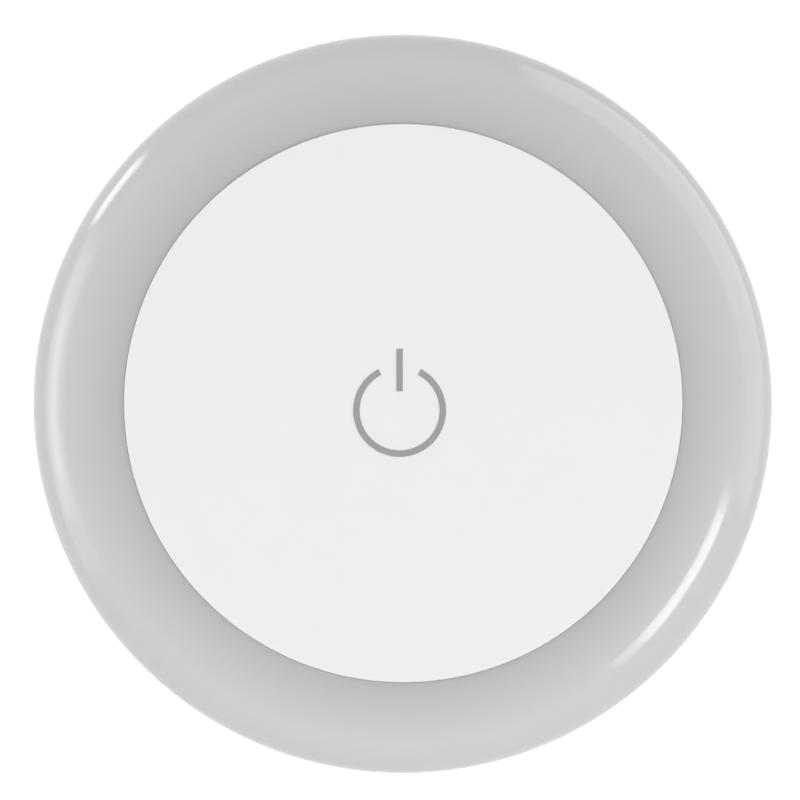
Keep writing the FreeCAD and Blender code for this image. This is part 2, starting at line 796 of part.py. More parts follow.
def electrolytic_capacitor():
    """The smoothing capacitor: a can lying on the board, with a rolled bead near its seal."""
    x, z = CAN_PLACE
    radius = CAN_DIAMETER / 2
    centre = Vector(x - CAN_LENGTH / 2, board_back_y + CAN_GAP + radius, z)
    along = Vector(1, 0, 0)
    can = Part.makeCylinder(radius, CAN_LENGTH, centre, along)
    can = can.makeFillet(CAN_BEAD, [e for e in can.Edges if isinstance(e.Curve, Part.Circle)])
    bead_place = centre + along * (CAN_LENGTH - CAN_BEAD_SETBACK)
    bead = Part.makeTorus(radius + CAN_BEAD / 2, CAN_BEAD, bead_place, along)
    return can.cut(bead)


def film_capacitor():
    """The dropper capacitor: a dipped box lying on the board."""
    x, z = FILM_PLACE
    box = slab(FILM_WIDTH, FILM_HEIGHT, board_back_y, board_back_y + FILM_THICKNESS, x, z)
    return box.makeFillet(FILM_ROUND, box.Edges)


def fusible_resistor():
    """The axial resistor that is also the fuse, just off the board, with two end caps."""
    x, z = FUSE_PLACE
    y = board_back_y + FUSE_STANDOFF + FUSE_DIAMETER / 2
    along = Vector(1, 0, 0)
    left = x - FUSE_LENGTH / 2
    waist = Part.makeCylinder(FUSE_WAIST_DIAMETER / 2, FUSE_LENGTH, Vector(left, y, z), along)
    caps = []
    for start in (left, left + FUSE_LENGTH - FUSE_CAP_LENGTH):
        cap = Part.makeCylinder(FUSE_DIAMETER / 2, FUSE_CAP_LENGTH, Vector(start, y, z), along)
        rims = [edge for edge in cap.Edges if isinstance(edge.Curve, Part.Circle)]
        caps.append(cap.makeFillet(FUSE_CAP_ROUND, rims))
    return joined(waist, *caps)


def bridge_rectifier():
    """The rectifier: a small moulded block with two flat feet on each side."""
    x, z = BRIDGE_PLACE
    body = slab(
        BRIDGE_LENGTH, BRIDGE_WIDTH, board_back_y, board_back_y + BRIDGE_HEIGHT, x, z
    )
    feet = [
        slab(
            BRIDGE_FOOT_WIDTH,
            BRIDGE_WIDTH + 2 * BRIDGE_FOOT_REACH,
            board_back_y,
            board_back_y + BRIDGE_FOOT_THICKNESS,
            x + side * BRIDGE_PITCH / 2,
            z,
        )
        for side in (-1, 1)
    ]
    return joined(body, *feet)


def chip_resistors():
    """A column of flat chip resistors."""
    x, z = CHIP_PLACE
    return [
        slab(CHIP_LENGTH, CHIP_WIDTH, board_back_y, board_back_y + CHIP_HEIGHT, x, z - i * CHIP_PITCH)
        for i in range(CHIP_COUNT)
    ]


def housing_screws():
    """The self-tapping screws, with a domed head and a cross recess, driven from the back."""
    head = SCREW_HEAD_DIAMETER / 2
    shank = SCREW_DIAMETER / 2
    head_y = screw_seat_y + SCREW_HEAD_HEIGHT
    screw = turned(
        outline(
            (0, screw_tip_y),
            (shank, screw_tip_y + SCREW_TIP),
            (shank, screw_seat_y),
            (head, screw_seat_y),
            (head, head_y - SCREW_HEAD_ROUND),
            ((head, head_y), (head - SCREW_HEAD_ROUND, head_y)),
            (0, head_y),
        )
    )
    recess_y = head_y - CROSS_DEPTH
    screw = screw.cut(
        [
            slab(CROSS_SPAN, CROSS_WIDTH, recess_y, head_y + CUT_PAST),
            slab(CROSS_WIDTH, CROSS_SPAN, recess_y, head_y + CUT_PAST),
        ]
    )
    screws = []
    for x, z in screw_places():
        placed = screw.copy()
        placed.translate(Vector(x, 0, z))
        screws.append(placed)
    return screws


def nodes():
    """Every sub-part by name: a solid, or a list of like solids."""
    return {
        "rear_housing": rear_housing(),
        "plug_block": plug_block(),
        "pin_left": pin(-1),
        "pin_right": pin(1),
        "sleeve_left": pin_sleeve(-1),
        "sleeve_right": pin_sleeve(1),
        "diffuser_ring": diffuser_ring(),
        "press_disc": press_disc(),
        "power_symbol": power_symbol(),
        "centre_frame": centre_frame(),
        "return_spring": return_spring(),
        "main_board": main_board(),
        "light_emitters": light_emitters(),
        "reflector_ring": reflector_ring(),
        "switch_body": switch_body(),
        "switch_plunger": switch_plunger(),
        "switch_terminals": switch_terminals(),
        "electrolytic_capacitor": electrolytic_capacitor(),
        "film_capacitor": film_capacitor(),
        "bridge_rectifier": bridge_rectifier(),
        "fusible_resistor": fusible_resistor(),
        "chip_resistors": chip_resistors(),
        "component_leads": component_leads(),
        "solder_joints": solder_joints(),
        "housing_screws": housing_screws(),
    }


def main():
    os.makedirs("parts", exist_ok=True)
    for name, made in nodes().items():
        solids = made if isinstance(made, list) else [made]
        whole = [solid for shape in solids for solid in shape.Solids]
        shape = whole[0] if len(whole) == 1 else Part.makeCompound(whole)
        if not shape.isValid():
            raise ValueError(name + " isn't a valid shape")
        shape.exportStep(os.path.join("parts", name + ".step"))
        print(name, len(whole), "solid(s)", round(shape.Volume, 1), "mm3")


main()
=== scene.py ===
"""The looks of a round plug-in night light: a matte press disc in a milky ring, on a white housing
whose two-pin plug enters the wall behind it.

Lengths are in metres, in the lamp's own frame. The front looks towards -Y, +Y runs into the wall,
+X is to the right of someone facing the lamp, and +Z is up.
"""

import math

import bmesh
import bpy
from bpy.props import FloatProperty, FloatVectorProperty, PointerProperty
from bpy.types import Operator, Panel, PropertyGroup
from mathutils import Matrix, Vector


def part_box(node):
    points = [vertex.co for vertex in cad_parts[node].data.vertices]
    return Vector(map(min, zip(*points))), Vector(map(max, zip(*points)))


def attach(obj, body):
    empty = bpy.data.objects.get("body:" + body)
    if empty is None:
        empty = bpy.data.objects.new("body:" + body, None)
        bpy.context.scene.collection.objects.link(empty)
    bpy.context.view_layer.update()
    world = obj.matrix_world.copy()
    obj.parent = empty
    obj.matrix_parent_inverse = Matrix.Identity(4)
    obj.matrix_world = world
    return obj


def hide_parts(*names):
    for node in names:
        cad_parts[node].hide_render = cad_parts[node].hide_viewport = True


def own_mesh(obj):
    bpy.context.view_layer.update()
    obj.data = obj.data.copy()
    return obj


bl_info = {
    "name": "Plug-in night light",
    "version": (1, 0, 0),
    "blender": (4, 5, 0),
    "location": "3D View > Sidebar > Night light",
    "description": "Makes the pieces, finishes and stage of a round plug-in night light",
    "category": "Object",
}

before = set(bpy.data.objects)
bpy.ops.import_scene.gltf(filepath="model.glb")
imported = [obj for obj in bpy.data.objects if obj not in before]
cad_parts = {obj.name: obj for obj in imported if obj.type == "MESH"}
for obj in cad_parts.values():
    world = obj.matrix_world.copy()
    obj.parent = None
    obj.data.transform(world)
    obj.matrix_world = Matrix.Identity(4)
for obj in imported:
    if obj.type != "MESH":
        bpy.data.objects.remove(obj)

MM = 0.001
WELD = 0.001 * MM
DEPTH_SLACK = 0.02 * MM
RADIUS_SLACK = 0.05 * MM
ALONG = 0.99  # The least part along an axis of a unit vector that counts as following it
SMOOTH_ANGLE = math.radians(32)
SHARP_ANGLE = math.radians(50)

# Points of a quarter arc, and steps round the large and the small pieces
ARC_POINTS = 20
ROUND_STEPS = 256
SMALL_STEPS = 64
SYMBOL_STEPS = 120
WIRE_SIDES = 16

# Segments of the rounded edges
FINE_EDGE = 8
PLAIN_EDGE = 6
RIM_EDGE = 3
SMALL_EDGE = 2

SPRING_TURNS = 4
SCREWS = 3
LEGS = 3
FIRST_LEG = math.radians(30)

# Detail of the materials' noise, and the range that holds most of its values
PLAIN_DETAIL = 2.0
RICH_DETAIL = 3.0
NOISE_RANGE = (0.3, 0.7)

# The picture's width in pixels, and the sensor's in millimetres
PICTURE = 800.0
SENSOR = 36.0
CLIP_START = 0.01

# Lights: name, angle round the lamp from +X towards +Z, angle off the view axis, span across the
# ring, span along it (all in degrees), and brightness
LIGHT_DISTANCE = 0.6
REFLECTED_LIGHTS = (
    ("left_outer", 179, 91, 38, 62, 0.8),
    ("left_middle", 176, 90, 26, 47, 1.4),
    ("left_inner", 178, 89, 12, 30, 1.6),
    ("lower_right", -32.6, 66.2, 14, 35, 3.0),
    ("lower_right_core", -31, 66.2, 12, 25, 5.0),
    ("upper_left", 142.5, 109.5, 15, 13, 5.4),
    ("upper_right", 27, 99, 46, 88, 0.9),
    ("upper_right_core", 42, 99, 46, 57, 0.4),
)
FILL_LIGHTS = (
    ("front_fill", 90, 5, 60, 60, 0.38),
    ("right_fill", -25, 55, 50, 50, 0.95),
    ("low_fill", -100, 55, 50, 50, 0.50),
    ("left_fill", 178, 55, 50, 50, 0.70),
)


def length(name, description, default_mm):
    """A length, with its default written in millimetres."""
    return FloatProperty(
        name=name, description=description, default=default_mm * MM, min=0.0, unit="LENGTH", precision=5
    )


def share(name, description, default):
    """A plain number between 0 and 1."""
    return FloatProperty(name=name, description=description, default=default, min=0.0, max=1.0)


def pixels(name, description, default):
    """A distance in the picture, in pixels."""
    return FloatProperty(name=name, description=description, default=default)


def colour(name, description, default):
    """A colour, in linear values."""
    return FloatVectorProperty(
        name=name, description=description, default=default, size=3, min=0.0, max=1.0, subtype="COLOR"
    )


class NightLightRing(PropertyGroup):
    """Sizes of the milky ring"""

    width: length("Width", "From the bore to the outside", 10.1)
    crown: length("Crown", "Depth of the domed part", 8.2)
    wall: length("Wall", "Thickness of the domed wall", 2.4)
    bore_wall: length("Bore wall", "Thickness of the wall round the disc", 1.6)
    edge_round: length("Bore edge", "Rounding of the edge next to the disc", 0.1)
    seam_round: length("Seam edge", "Rounding of the edge next to the housing", 0.25)
    bore_depth: length("Bore depth", "From the crest to the clamped lip", 6.0)
    lip_width: length("Lip width", "How far the clamped lip reaches inwards", 1.5)
    lip_thickness: length("Lip thickness", "Thickness of the clamped lip", 1.2)
    tongue_length: length("Tongue length", "How far the tongue drops into the housing", 2.0)
    tongue_thickness: length("Tongue thickness", "Thickness of the tongue", 1.1)


class NightLightDisc(PropertyGroup):
    """Sizes of the press disc and its symbol"""

    thickness: length("Thickness", "Thickness of the disc's face", 1.6)
    edge_round: length("Edge", "Rounding of the disc's front edge", 0.14)
    snug: length("Snug", "Added to the radius of the disc's CAD solid, to close the dark gap", 0.09)
    skirt_height: length("Skirt height", "From the disc's face to the foot of its skirt", 3.4)
    skirt_wall: length("Skirt wall", "Thickness of the skirt", 1.2)
    boss_radius: length("Boss radius", "Radius of the boss that presses the switch", 3.0)
    boss_height: length("Boss height", "Height of the boss under the face", 1.5)
    locator_radius: length("Locator radius", "Outer radius of the spring locator", 7.2)
    locator_wall: length("Locator wall", "Thickness of the spring locator", 0.9)
    locator_height: length("Locator height", "Height of the spring locator", 1.0)
    leg_radius: length("Leg place", "Distance of a guide leg's inner face from the axis", 21.9)
    leg_width: length("Leg width", "Width of a guide leg", 5.0)
    leg_thickness: length("Leg thickness", "Thickness of a guide leg", 1.6)
    hook_reach: length("Hook reach", "How far a leg's hook stands out", 1.0)
    hook_height: length("Hook height", "Height of a leg's hook", 1.0)
    hook_rise: length("Hook rise", "From a leg's foot to its hook's foot", 1.15)
    travel: length("Travel", "How far the disc is pressed in", 1.2)
    spring_wire: length("Spring wire", "Thickness of the return spring's wire", 0.6)
    stroke: length("Symbol stroke", "Width of the symbol's lines", 0.7)
    symbol_ring: length("Symbol ring", "Middle diameter of the symbol's open ring", 9.25)
    symbol_shift: length("Symbol shift", "How far left of the centre the symbol sits", 0.4)
    symbol_drop: length("Symbol drop", "How far the symbol's ring sits below the centre", 0.8)
    symbol_opening: FloatProperty(
        name="Symbol opening", description="Angle of the gap in the ring", default=math.radians(54.0),
        subtype="ANGLE",
    )
    bar_length: length("Bar length", "Length of the symbol's bar", 4.56)
    bar_reach: length("Bar reach", "From the ring's centre to the top of the bar", 6.6)


class NightLightHousing(PropertyGroup):
    """Sizes of the rear housing and its screws"""

    corner: length("Corner", "Radius of the rounded back edge", 7.0)
    wall: length("Wall", "Thickness of the wall", 2.4)
    rebate_wall: length("Rim", "Thickness of the rim outside the ring's tongue", 0.95)
    rebate_depth: length("Rebate depth", "Depth of the step that takes the tongue", 1.6)
    rim_round: length("Rim edge", "Rounding of the rim next to the ring", 0.25)
    opening_gap: length("Opening gap", "Gap round the plug and round a screw's shank", 0.15)
    label_width: length("Label width", "Width of the bare label recess", 28.0)
    label_height: length("Label height", "Height of the bare label recess", 12.0)
    label_drop: length("Label drop", "How far the label recess sits below the axis", 19.0)
    label_depth: length("Label depth", "Depth of the bare label recess", 0.3)
    label_corner: length("Label corner", "Rounding of the label recess's corners", 1.2)
    screw_circle: length("Screw circle", "Distance of the screws from the axis", 24.9)
    screw_well: length("Screw well", "Radius of the well over each screw", 2.9)
    screw_seat: length("Screw seat", "Depth of the well over each screw", 3.4)
    boss_wall: length("Boss wall", "Thickness of the wall round a screw well", 1.2)
    hole_round: length("Hole edge", "Rounding of the edges of the holes in the back", 0.15)
    head_radius: length("Head radius", "Radius of a screw's head", 2.5)
    head_height: length("Head height", "Height of a screw's head", 2.0)
    head_round: length("Head round", "Rounding of a screw's head", 0.8)
    shank_radius: length("Shank radius", "Radius of a screw's shank", 1.3)
    cross_span: length("Cross span", "Span of the cross recess", 2.6)
    cross_width: length("Cross width", "Width of the cross recess", 0.7)
    cross_depth: length("Cross depth", "Depth of the cross recess", 1.2)
    screw_round: length("Screw edge", "Rounding of a screw's sharp edges", 0.06)


class NightLightPlug(PropertyGroup):
    """Sizes of the plug, its pins and sleeves"""

    width: length("Width", "Width of the plug", 35.3)
    height: length("Height", "Height of the plug", 13.7)
    chamfer: length("Chamfer", "Size of the slanted corners", 4.6)
    side_round: length("Side edge", "Rounding of the long edges", 1.5)
    face_round: length("Face edge", "Rounding of the edges of the plug's face", 0.8)
    flange_rim: length("Flange rim", "How far the hidden flange stands out", 1.5)
    flange_thickness: length("Flange thickness", "Thickness of the hidden flange", 2.0)
    tower_radius: length("Tower radius", "Radius of the hidden tower round a pin's tail", 3.6)
    recess_radius: length("Recess radius", "Radius of the recess round a pin", 2.6)
    recess_depth: length("Recess depth", "Depth of the recess round a pin", 0.5)
    pin_spacing: length("Pin spacing", "Distance between the pins at the plug's face", 18.6)
    tip_spacing: length("Tip spacing", "Distance between the pins at their tips", 17.5)
    pin_length: length("Pin length", "From the plug's face to a pin's tip", 19.0)
    pin_radius: length("Pin radius", "Radius of the bare part of a pin", 2.0)
    core_radius: length("Core radius", "Radius of a pin under its sleeve", 1.45)
    sleeve_radius: length("Sleeve radius", "Radius of an insulating sleeve", 1.8)
    sleeve_length: length("Sleeve length", "From the plug's face to the sleeve's end", 10.0)
    sleeve_root: length("Sleeve root", "How deep a sleeve is rooted in the plug", 2.0)
    sleeve_round: length("Sleeve edge", "Rounding of a sleeve's end", 0.12)


class NightLightFinish(PropertyGroup):
    """Colours and surface qualities"""

    # The ring's two colours are painted shade and painted light: a darker grey next to the disc, where
    # the dark inside of the lamp lies behind the ring, going over to a paler grey at the outside
    ring_painted_shade_colour: colour("Ring", "Colour of the milky ring next to the disc", (0.494, 0.490, 0.504))
    ring_painted_light_colour: colour("Ring outside", "Colour of the milky ring at its outside", (0.640, 0.636, 0.651))
    ring_painted_light_share: share("Pale share", "Share of the ring's width that has its outside colour", 0.3)
    ring_roughness: share("Ring roughness", "Roughness of the glossy ring", 0.13)
    disc_colour: colour("Disc", "Colour of the press disc", (0.850, 0.850, 0.868))
    disc_roughness: share("Disc roughness", "Roughness of the matte disc", 0.55)
    symbol_colour: colour("Symbol", "Colour of the power symbol", (0.335, 0.335, 0.335))
    housing_colour: colour("Housing", "Colour of the housing and the plug", (0.800, 0.800, 0.795))
    housing_roughness: share("Housing roughness", "Roughness of the housing", 0.42)
    sleeve_colour: colour("Sleeves", "Colour of the pins' sleeves", (0.030, 0.030, 0.032))


class NightLightStage(PropertyGroup):
    """The floor, the lights and the camera"""

    camera_distance: length("Camera distance", "From the lens to the lamp's outline", 700.0)
    camera_drop: length("Camera drop", "How far the camera sits below the lamp's axis", 6.7)
    camera_left: length("Camera left", "How far the camera sits to the left of the lamp's axis", 4.5)
    outline_pixels: pixels("Outline", "Width of the lamp's outline in the picture", 738.6)
    outline_x: pixels("Outline X", "Middle of the outline, from the picture's left edge", 402.8)
    outline_y: pixels("Outline Y", "Middle of the outline, from the picture's top edge", 403.7)
    room_light: share("Room light", "Strength of the even light", 0.67)
    floor_drop: length("Floor drop", "How far the floor lies below the lamp's axis", 700.0)
    backdrop_place: length("Backdrop", "How far the backdrop stands behind the lamp", 1600.0)
    ground_side: length("Ground side", "Side of the floor and the backdrop", 6000.0)
    ground_shade: share("Ground shade", "Grey of the floor and the backdrop", 0.8)
    ground_roughness: share("Ground roughness", "Roughness of the floor and the backdrop", 0.9)
    ground_glow: share("Ground glow", "Glow that makes the ground white to the lens", 0.55)


GROUPS = {
    "night_light_ring": NightLightRing,
    "night_light_disc": NightLightDisc,
    "night_light_housing": NightLightHousing,
    "night_light_plug": NightLightPlug,
    "night_light_finish": NightLightFinish,
    "night_light_stage": NightLightStage,
}


def select_only(piece):
    """Select one piece and make it the active one."""
    bpy.ops.object.select_all(action="DESELECT")
    piece.select_set(True)
    bpy.context.view_layer.objects.active = piece


def start_edit():
    """Edit the active piece with everything in it selected."""
    bpy.ops.object.mode_set(mode="EDIT")
    bpy.ops.mesh.select_mode(type="VERT")
    bpy.ops.mesh.select_all(action="SELECT")


def end_edit():
    """Weld the piece, face it outwards and leave edit mode."""
    bpy.ops.mesh.select_all(action="SELECT")
    bpy.ops.mesh.remove_doubles(threshold=WELD)
    bpy.ops.mesh.normals_make_consistent(inside=False)
    bpy.ops.object.mode_set(mode="OBJECT")


def pick(kind, test):
    """Select the edges or the faces of the edited piece that pass a test."""
    bpy.ops.mesh.select_mode(type=kind)
    bpy.ops.mesh.select_all(action="DESELECT")
    mesh = bmesh.from_edit_mesh(bpy.context.object.data)
    for part in mesh.edges if kind == "EDGE" else mesh.faces:
        if test(part):
            part.select_set(True)
    mesh.select_flush_mode()
    bmesh.update_edit_mesh(bpy.context.object.data)


def cap_towards(direction):
    """A test for a round piece's whole caps that look at the wall (1) or at the front (-1)."""

    def test(face):
        return face.normal.y * direction > ALONG and len(face.verts) > 4

    return test


def loop_at(y, radius):
    """A test for the edges of a loop round the axis."""

    def test(edge):
        return all(
            abs(v.co.y - y) < DEPTH_SLACK and abs(math.hypot(v.co.x, v.co.z) - radius) < RADIUS_SLACK
            for v in edge.verts
        )

    return test


def sharp_edges_at(y):
    """A test for the sharp edges that lie at one depth."""

    def test(edge):
        return (
            len(edge.link_faces) == 2
            and all(abs(v.co.y - y) < DEPTH_SLACK for v in edge.verts)
            and edge.calc_face_angle() > SHARP_ANGLE
        )

    return test


def runs_along_y(edge):
    """Whether an edge runs along Y."""
    return abs((edge.verts[0].co - edge.verts[1].co).normalized().y) > ALONG


def outline(start, *steps):
    """Points along an outline of (radius, y). A step is a point, or a pair (corner, end) that is
    reached by the quarter ellipse that rounds that corner."""
    points = [start]
    for step in steps:
        if not isinstance(step[0], tuple):
            points.append(step)
            continue
        here, (corner, end) = Vector(points[-1]), (Vector(step[0]), Vector(step[1]))
        centre = here + end - corner
        for i in range(1, ARC_POINTS + 1):
            angle = math.pi / 2 * i / ARC_POINTS
            place = centre + (here - centre) * math.cos(angle) + (end - centre) * math.sin(angle)
            points.append(tuple(place))
    return points


def turned(name, points, steps=SMALL_STEPS):
    """Draw an outline from one vertex and spin it round the lamp's axis."""
    bpy.ops.mesh.primitive_plane_add(size=MM)
    piece = bpy.context.object
    piece.name = name
    start_edit()
    bpy.ops.mesh.merge(type="CENTER")
    bpy.ops.transform.translate(value=(*points[0], 0))
    for (radius, y), (next_radius, next_y) in zip(points, points[1:]):
        bpy.ops.mesh.extrude_vertices_move(
            TRANSFORM_OT_translate={"value": (next_radius - radius, next_y - y, 0)}
        )
    bpy.ops.mesh.select_all(action="SELECT")
    bpy.ops.mesh.spin(steps=steps, angle=2 * math.pi, center=(0, 0, 0), axis=(0, 1, 0))
    end_edit()
    return piece


def drum(name, radius, y_from, y_to, x=0.0, z=0.0, sides=SMALL_STEPS):
    """A round drum along Y with whole caps, ready to be shaped."""
    bpy.ops.mesh.primitive_cylinder_add(
        vertices=sides, radius=radius, depth=y_to - y_from, location=(x, (y_from + y_to) / 2, z),
        rotation=(math.pi / 2, 0, 0),
    )
    return settled(name)


def block(name, width, height, y_from, y_to, x=0.0, z=0.0):
    """A block along Y, ready to be shaped: width is along X and height along Z."""
    bpy.ops.mesh.primitive_cube_add(
        size=1, location=(x, (y_from + y_to) / 2, z), scale=(width, y_to - y_from, height)
    )
    return settled(name)


def settled(name):
    """The new piece, named and settled."""
    piece = bpy.context.object
    piece.name = name
    settle(piece)
    return piece


def settle(piece):
    """Put the piece's object at the origin, with its place in its mesh."""
    select_only(piece)
    bpy.ops.object.transform_apply(location=True, rotation=True, scale=True)


def bevel_edges(test, width, segments):
    """Round the edges of the edited piece that pass a test."""
    pick("EDGE", test)
    bpy.ops.mesh.bevel(offset=width, segments=segments, affect="EDGES", clamp_overlap=True)


def extrude_faces(test, move):
    """Push out the faces that pass a test."""
    pick("FACE", test)
    bpy.ops.mesh.extrude_region_move(TRANSFORM_OT_translate={"value": move})


def sink_cap(direction, border, move):
    """Set a smaller face into a round piece's cap, and push it along Y into the piece."""
    pick("FACE", cap_towards(direction))
    bpy.ops.mesh.inset(thickness=border)
    extrude_faces(cap_towards(direction), (0, move, 0))


def combine(piece, other, operation):
    """Add another solid to a piece or cut it away, and delete the other solid."""
    select_only(piece)
    modifier = piece.modifiers.new(operation, "BOOLEAN")
    modifier.operation = operation
    modifier.solver = "EXACT"
    modifier.object = other
    bpy.ops.object.modifier_apply(modifier=modifier.name)
    bpy.data.objects.remove(other, do_unlink=True)


def soften(piece, width):
    """Round a piece's sharp edges a little."""
    select_only(piece)
    modifier = piece.modifiers.new("edges", "BEVEL")
    modifier.width = width
    modifier.segments = SMALL_EDGE
    modifier.limit_method = "ANGLE"
    modifier.angle_limit = SHARP_ANGLE
    bpy.ops.object.modifier_apply(modifier=modifier.name)


def finish_piece(piece, material, body, slot, *nodes):
    """Smooth a piece, give it its material, and put it in place of its CAD nodes."""
    select_only(piece)
    bpy.ops.object.shade_smooth_by_angle(angle=SMOOTH_ANGLE)
    piece.data.materials.clear()
    piece.data.materials.append(material)
    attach(piece, body)
    if nodes:
        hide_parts(*nodes)


def screw_places():
    """The x and z of the screws, evenly spaced round the axis from the top."""
    radius = bpy.context.scene.night_light_housing.screw_circle
    angles = [math.pi / 2 + 2 * math.pi * i / SCREWS for i in range(SCREWS)]
    return [(radius * math.cos(angle), radius * math.sin(angle)) for angle in angles]


def set_sockets(node, **values):
    """Set a node's sockets, whose names are written with _ for each space."""
    for socket, value in values.items():
        node.inputs[socket.replace("_", " ")].default_value = value


def add_node(tree, kind, **values):
    """Add a shader node and set its sockets."""
    node = tree.nodes.new("ShaderNode" + kind)
    set_sockets(node, **values)
    return node


class Shader:
    """A new material whose Principled shader reads noise on object coordinates."""

    def __init__(self, name, colour, roughness, **uniform):
        self.material = bpy.data.materials.new(name)
        self.material.use_nodes = True
        self.tree = self.material.node_tree
        self.link = self.tree.links.new
        self.surface = self.tree.nodes["Principled BSDF"]
        set_sockets(self.surface, Base_Color=(*colour, 1), Roughness=roughness, **uniform)
        self.place = add_node(self.tree, "TexCoord").outputs["Object"]
        self.colour = colour
        self.roughness = roughness

    def noise(self, size, detail, stretch=(1, 1, 1)):
        """Noise with features about this size, longer along the axes where stretch is over 1."""
        mapping = add_node(self.tree, "Mapping", Scale=[1 / s for s in stretch])
        texture = add_node(self.tree, "TexNoise", Scale=1 / size, Detail=detail)
        self.link(self.place, mapping.inputs["Vector"])
        self.link(mapping.outputs["Vector"], texture.inputs["Vector"])
        return texture.outputs["Fac"]

    def blend(self, first, second, amount):
        """Make the base colour a mix of two colours."""
        mix = add_node(self.tree, "Mix")
        mix.data_type = "RGBA"
        set_sockets(mix, A=(*first, 1), B=(*second, 1))
        self.link(amount, mix.inputs["Factor"])
        self.link(mix.outputs["Result"], self.surface.inputs["Base Color"])
        return self

    def mottle(self, size, amount):
        """Let the colour drift a little lighter and darker."""
        darker = [c * (1 - amount) for c in self.colour]
        lighter = [min(1.0, c * (1 + amount)) for c in self.colour]
        return self.blend(darker, lighter, self.noise(size, RICH_DETAIL))

    def paint_shade_and_light_outwards(self, painted_light_outer_colour, inner_radius, outer_radius, size, amount):
        """Go over to another colour away from the lamp's axis, a little unevenly: painted shade near
        the axis going over to painted light further out.
        """
        flat = add_node(self.tree, "Mapping", Scale=(1, 0, 1))
        distance = add_node(self.tree, "VectorMath")
        distance.operation = "LENGTH"
        spread = add_node(self.tree, "MapRange", From_Min=inner_radius, From_Max=outer_radius)
        uneven = add_node(self.tree, "Math")
        uneven.operation = "MULTIPLY_ADD"
        uneven.inputs[1].default_value = amount
        self.link(self.place, flat.inputs["Vector"])
        self.link(flat.outputs["Vector"], distance.inputs[0])
        self.link(distance.outputs["Value"], spread.inputs["Value"])
        self.link(self.noise(size, PLAIN_DETAIL), uneven.inputs[0])
        self.link(spread.outputs["Result"], uneven.inputs[2])
        return self.blend(self.colour, painted_light_outer_colour, uneven.outputs["Value"])

    def wear(self, size, amount, stretch=(1, 1, 1)):
        """Let the roughness vary."""
        low, high = NOISE_RANGE
        spread = add_node(
            self.tree, "MapRange", From_Min=low, From_Max=high,
            To_Min=self.roughness - amount, To_Max=self.roughness + amount,
        )
        self.link(self.noise(size, RICH_DETAIL, stretch), spread.inputs["Value"])
        self.link(spread.outputs["Result"], self.surface.inputs["Roughness"])
        return self

    def grain(self, size, depth, strength, stretch=(1, 1, 1)):
        """Raise a fine grain."""
        bump = add_node(self.tree, "Bump", Distance=depth, Strength=strength)
        self.link(self.noise(size, PLAIN_DETAIL, stretch), bump.inputs["Height"])
        self.link(bump.outputs["Normal"], self.surface.inputs["Normal"])
        return self


def milky_ring():
    """Glossy translucent plastic, grey because little light comes back out of the unlit lamp. Its
    colour is painted shade, darkest next to the disc, and painted lighter towards the outside.
    """
    finish = bpy.context.scene.night_light_finish
    shader = Shader(
        "milky_ring", finish.ring_painted_shade_colour, finish.ring_roughness, IOR=1.48, Subsurface_Weight=0.5,
        Subsurface_Radius=(1.0, 0.95, 0.9), Subsurface_Scale=1.5 * MM,
    )
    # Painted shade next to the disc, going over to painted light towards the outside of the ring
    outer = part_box("diffuser_ring")[1].x
    width = bpy.context.scene.night_light_ring.width
    painted_light_from = outer - finish.ring_painted_light_share * width
    shader.paint_shade_and_light_outwards(finish.ring_painted_light_colour, outer - width, painted_light_from, 9 * MM, 0.06)
    shader.wear(4 * MM, 0.02).grain(2.2 * MM, 0.002 * MM, 0.5)
    return shader.material


def matte_disc():
    """Near-white matte plastic with a fine moulded grain."""
    finish = bpy.context.scene.night_light_finish
    shader = Shader(
        "matte_disc", finish.disc_colour, finish.disc_roughness, IOR=1.46, Subsurface_Weight=0.25,
        Subsurface_Radius=(1.0, 1.0, 1.0), Subsurface_Scale=0.6 * MM,
    )
    shader.mottle(6 * MM, 0.006).wear(1.2 * MM, 0.04).grain(0.18 * MM, 0.006 * MM, 0.6)
    return shader.material


def symbol_ink():
    """The power symbol's matte grey."""
    finish = bpy.context.scene.night_light_finish
    shader = Shader("symbol_ink", finish.symbol_colour, 0.6, IOR=1.46)
    shader.mottle(0.8 * MM, 0.02).grain(0.18 * MM, 0.004 * MM, 0.5)
    return shader.material


def white_shell(name, roughness_shift=0.0):
    """White moulded plastic with a spark-eroded texture."""
    finish = bpy.context.scene.night_light_finish
    shader = Shader(name, finish.housing_colour, finish.housing_roughness + roughness_shift, IOR=1.5)
    shader.mottle(12 * MM, 0.01).wear(2 * MM, 0.05).grain(0.25 * MM, 0.012 * MM, 0.7)
    return shader.material


def dark_sleeve():
    """Dark insulating plastic, lightly scuffed by the socket."""
    finish = bpy.context.scene.night_light_finish
    shader = Shader("dark_sleeve", finish.sleeve_colour, 0.45, IOR=1.5)
    shader.mottle(1.5 * MM, 0.15).wear(0.6 * MM, 0.10, (1, 8, 1)).grain(0.3 * MM, 0.006 * MM, 0.6)
    return shader.material


def plated_metal(name, colour, roughness, stretch=(1, 1, 1)):
    """Plated metal with fine drawn lines along the stretched axis."""
    size = 0.25 * MM
    shader = Shader(name, colour, roughness, Metallic=1.0)
    shader.mottle(2 * MM, 0.04).wear(size, 0.08, stretch).grain(size, 0.002 * MM, 0.4, stretch)
    return shader.material


